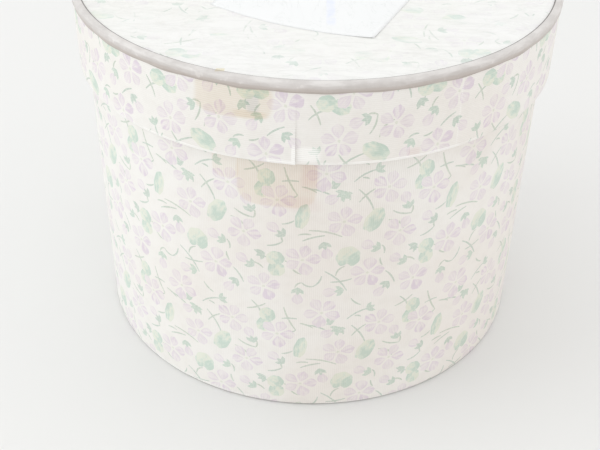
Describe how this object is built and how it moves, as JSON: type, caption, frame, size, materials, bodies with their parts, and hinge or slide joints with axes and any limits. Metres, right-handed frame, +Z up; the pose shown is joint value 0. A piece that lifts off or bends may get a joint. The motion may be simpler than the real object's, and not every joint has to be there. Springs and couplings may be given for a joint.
{
  "type": "round lidded storage box",
  "caption": "Round drum-shaped cardboard box with a lift-off lid, covered in flower-print paper, with a plain paper edging round the lid and a blank label on top.",
  "frame": {"origin": "centre of the foot, on the surface that the box stands on", "axes": "+Z up along the box's axis, which is also the way the lid lifts; -Y is the front, where the lid skirt's paper seam is"},
  "size_m": [0.2616, 0.2616, 0.204],
  "materials": {
    "board": "bare grey pasteboard, matt",
    "gummed_tape": "brown gummed paper tape",
    "printed_paper": "cream ribbed paper with an all-over violet and leaf print, slightly worn",
    "lining_paper": "plain off-white lining paper, matt",
    "edging_paper": "plain grey edging paper, wrinkled, low sheen",
    "label_paper": "blank bluish-white label paper"
  },
  "bodies": {
    "box": {"wall_board": "board", "base_board": "board", "wall_seam_tape": "gummed_tape", "body_cover": "printed_paper", "wall_lining": "lining_paper", "base_lining": "lining_paper", "base_paper": "lining_paper"},
    "lid": {"lid_board": "board", "skirt_board": "board", "skirt_seam_tape": "gummed_tape", "lid_top_paper": "printed_paper", "skirt_paper": "printed_paper", "edging_band": "edging_paper", "lid_lining": "lining_paper", "skirt_lining": "lining_paper", "top_label": "label_paper"}
  },
  "joints": [
    {"name": "lid_lift", "type": "slide", "parent": "box", "child": "lid", "axis": [0, 0, 1], "range_m": [0, 0.08]}
  ]
}
